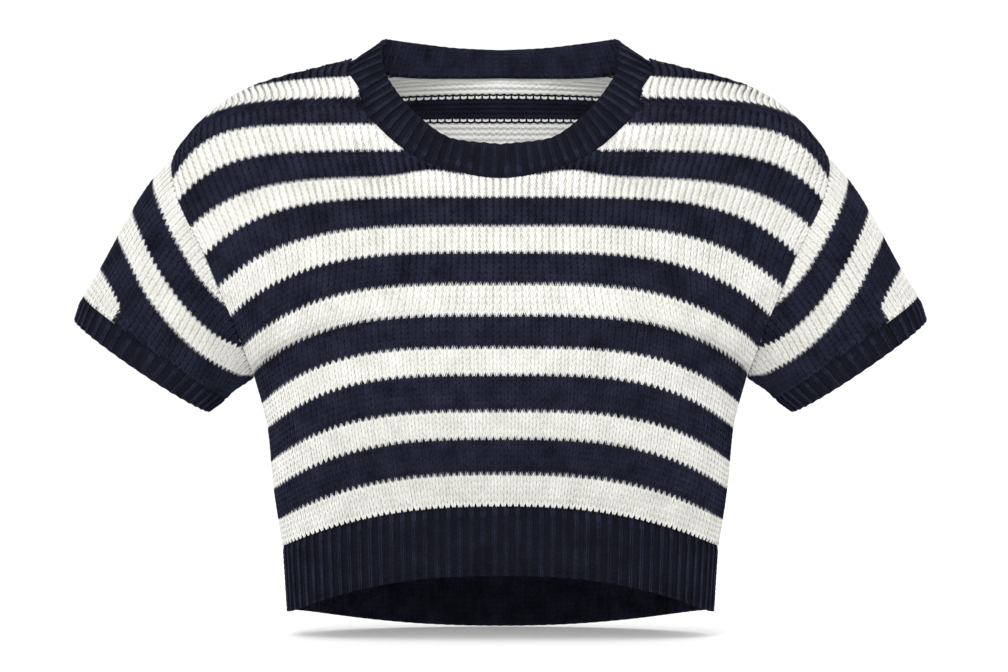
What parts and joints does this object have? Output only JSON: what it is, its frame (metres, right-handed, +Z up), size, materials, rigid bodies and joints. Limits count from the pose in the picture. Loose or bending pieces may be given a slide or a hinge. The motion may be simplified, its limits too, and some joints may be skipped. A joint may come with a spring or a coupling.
{
  "type": "sweater",
  "caption": "Cropped boxy short-sleeved crew-neck sweater in chunky navy and off-white striped stocking stitch, with ribbed neckband, cuffs and hem, filled out and hollow",
  "frame": {"origin": "midway between the highest points of the neckband, where the shoulders and neck of a wearer hold the sweater", "axes": "+X to the right seen from the front, from sleeve to sleeve; -Y out of the chest; +Z up, from the hem to the neck"},
  "size_m": [0.7266, 0.2628, 0.5084],
  "materials": {
    "striped_knit": "matte knitted yarn, off-white and navy stripes",
    "navy_rib_knit": "matte knitted yarn, navy rib"
  },
  "bodies": {
    "root": {"front_panel": "striped_knit", "back_panel": "striped_knit", "sleeve_left": "striped_knit", "sleeve_right": "striped_knit", "cuff_left": "navy_rib_knit", "cuff_right": "navy_rib_knit", "hem_rib_front": "navy_rib_knit", "hem_rib_back": "navy_rib_knit", "neckband": "navy_rib_knit"}
  },
  "joints": []
}
